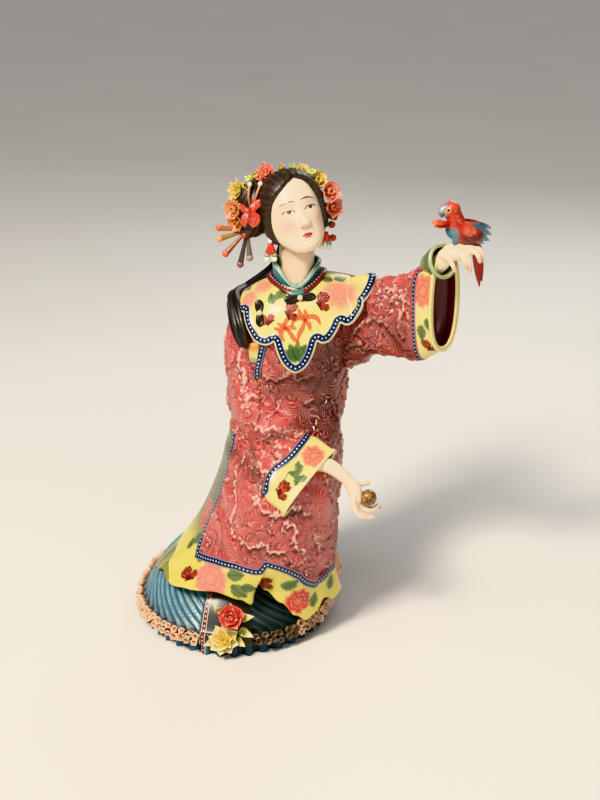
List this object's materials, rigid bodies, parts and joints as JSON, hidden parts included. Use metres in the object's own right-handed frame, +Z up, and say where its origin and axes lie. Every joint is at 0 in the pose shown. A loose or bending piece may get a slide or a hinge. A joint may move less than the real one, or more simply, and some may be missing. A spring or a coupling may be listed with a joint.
{
  "type": "ceramic lady figurine",
  "caption": "Seated lady in a carved, flower-painted robe with a raised wide sleeve, a small bird perched on one hand and a ball in the other, on a flared pleated skirt base.",
  "frame": {"origin": "on the table, under the middle of the whole figure's bounding box", "axes": "+Z up along the seated figure; the lady faces -Y; the raised arm with the bird points to +X"},
  "size_m": [0.167, 0.1202, 0.2282],
  "materials": {
    "painted_clay": "rose-red, yellow, blue and ivory colours under a glossy clear glaze",
    "bird_clay": "red and blue-grey feathers under a glossy clear glaze",
    "ball_clay": "brown marbled gloss glaze"
  },
  "bodies": {
    "root": {"figurine": "painted_clay", "bird": "bird_clay", "ball": "ball_clay"}
  },
  "joints": []
}
